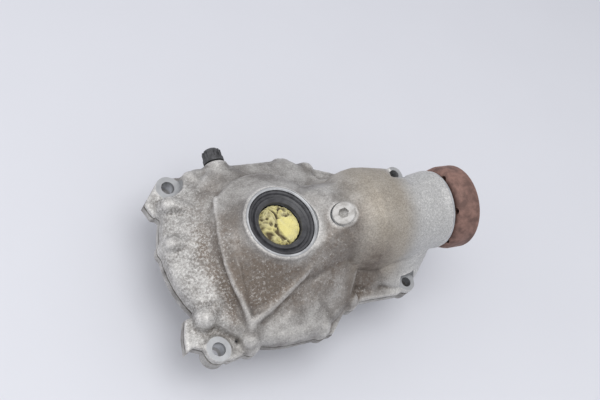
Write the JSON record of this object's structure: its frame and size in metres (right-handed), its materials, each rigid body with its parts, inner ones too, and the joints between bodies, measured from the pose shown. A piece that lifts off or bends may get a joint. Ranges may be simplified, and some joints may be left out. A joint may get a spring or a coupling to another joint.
{
  "type": "front differential",
  "caption": "Cast front axle differential with a tapered pinion tube, round output seal opening, mounting lugs, input flange and a working bevel gear set inside.",
  "frame": {"origin": "on the output axis, in the end face of the sump spigot, the lowest face", "axes": "+Z along the output axis towards the open seal shown in the picture, +X along the pinion axis towards the input flange, +Y towards the breather"},
  "size_m": [0.311, 0.1986, 0.1515],
  "materials": {
    "cast_aluminium": "weathered casting",
    "rusty_iron": "turned, rusted",
    "carrier_iron": "machined ductile iron",
    "gear_steel": "hardened and ground",
    "plain_steel": "zinc plated",
    "bronze": "bronze",
    "black_rubber": "satin",
    "black_plastic": "moulded",
    "sealant_bead": "cured sealant",
    "yellow_cloth": "cotton rag"
  },
  "bodies": {
    "housing": {"main_housing": "cast_aluminium", "side_cover": "cast_aluminium", "joint_sealant": "sealant_bead", "cover_screws": "plain_steel", "dowel_sleeves": "plain_steel", "spigot_o_ring": "black_rubber", "breather_pipe": "plain_steel", "breather_cap": "black_plastic", "filler_plug": "plain_steel", "filler_plug_washer": "plain_steel", "upper_seal_case": "plain_steel", "upper_seal_lip": "black_rubber", "lower_seal_case": "plain_steel", "lower_seal_lip": "black_rubber", "pinion_seal_case": "plain_steel", "pinion_seal_lip": "black_rubber", "carrier_shim": "plain_steel", "pinion_shim": "plain_steel", "upper_bearing_outer_race": "gear_steel", "lower_bearing_outer_race": "gear_steel", "rear_pinion_bearing_outer_race": "gear_steel", "front_pinion_bearing_outer_race": "gear_steel"},
    "carrier": {"diff_carrier": "carrier_iron", "ring_gear": "gear_steel", "ring_gear_screws": "plain_steel", "cross_pin": "gear_steel", "cross_pin_lock": "gear_steel", "side_washer_upper": "bronze", "side_washer_lower": "bronze", "spider_washer_front": "bronze", "spider_washer_rear": "bronze", "upper_bearing_inner_race": "gear_steel", "lower_bearing_inner_race": "gear_steel"},
    "pinion": {"pinion_shaft": "gear_steel", "input_flange": "rusty_iron", "pinion_nut": "plain_steel", "dust_shield": "plain_steel", "crush_sleeve": "plain_steel", "rear_pinion_bearing_inner_race": "gear_steel", "front_pinion_bearing_inner_race": "gear_steel"},
    "side_gear_upper": {"side_gear_upper": "gear_steel"},
    "side_gear_lower": {"side_gear_lower": "gear_steel"},
    "spider_front": {"spider_gear_front": "gear_steel"},
    "spider_rear": {"spider_gear_rear": "gear_steel"},
    "upper_roller_set": {"upper_bearing_rollers": "gear_steel", "upper_bearing_cage": "gear_steel"},
    "lower_roller_set": {"lower_bearing_rollers": "gear_steel", "lower_bearing_cage": "gear_steel"},
    "rear_roller_set": {"rear_pinion_bearing_rollers": "gear_steel", "rear_pinion_bearing_cage": "gear_steel"},
    "front_roller_set": {"front_pinion_bearing_rollers": "gear_steel", "front_pinion_bearing_cage": "gear_steel"},
    "rag": {"bore_rag": "yellow_cloth"}
  },
  "joints": [
    {"name": "carrier_spin", "type": "hinge", "parent": "housing", "child": "carrier", "pos_m": [0, 0, 0.064], "axis": [0, 0, 1], "continuous": true},
    {"name": "pinion_spin", "type": "hinge", "parent": "housing", "child": "pinion", "pos_m": [0.12, 0, 0.101], "axis": [1, 0, 0], "continuous": true},
    {"name": "upper_rollers_spin", "type": "hinge", "parent": "housing", "child": "upper_roller_set", "pos_m": [0, 0, 0.101], "axis": [0, 0, 1], "continuous": true},
    {"name": "lower_rollers_spin", "type": "hinge", "parent": "housing", "child": "lower_roller_set", "pos_m": [0, 0, 0.027], "axis": [0, 0, 1], "continuous": true},
    {"name": "rear_rollers_spin", "type": "hinge", "parent": "housing", "child": "rear_roller_set", "pos_m": [0.096, 0, 0.101], "axis": [1, 0, 0], "continuous": true},
    {"name": "front_rollers_spin", "type": "hinge", "parent": "housing", "child": "front_roller_set", "pos_m": [0.141, 0, 0.101], "axis": [1, 0, 0], "continuous": true},
    {"name": "side_upper_spin", "type": "hinge", "parent": "carrier", "child": "side_gear_upper", "pos_m": [0, 0, 0.083], "axis": [0, 0, 1], "continuous": true},
    {"name": "side_lower_spin", "type": "hinge", "parent": "carrier", "child": "side_gear_lower", "pos_m": [0, 0, 0.045], "axis": [0, 0, 1], "continuous": true},
    {"name": "spider_front_spin", "type": "hinge", "parent": "carrier", "child": "spider_front", "pos_m": [0, 0.022, 0.064], "axis": [0, 1, 0], "continuous": true},
    {"name": "spider_rear_spin", "type": "hinge", "parent": "carrier", "child": "spider_rear", "pos_m": [0, -0.022, 0.064], "axis": [0, 1, 0], "continuous": true},
    {"name": "rag_pull", "type": "slide", "parent": "housing", "child": "rag", "axis": [0, 0, 1], "range_m": [0, 0.04]}
  ],
  "couplings": [
    {"joint": "pinion_spin", "follows": "carrier_spin", "ratio": 3.0833},
    {"joint": "upper_rollers_spin", "follows": "carrier_spin", "ratio": 0.4355},
    {"joint": "lower_rollers_spin", "follows": "carrier_spin", "ratio": 0.4355},
    {"joint": "rear_rollers_spin", "follows": "carrier_spin", "ratio": 1.3366},
    {"joint": "front_rollers_spin", "follows": "carrier_spin", "ratio": 1.3009},
    {"joint": "side_lower_spin", "follows": "side_upper_spin", "ratio": -1},
    {"joint": "spider_front_spin", "follows": "side_upper_spin", "ratio": -1.4},
    {"joint": "spider_rear_spin", "follows": "side_upper_spin", "ratio": 1.4}
  ]
}
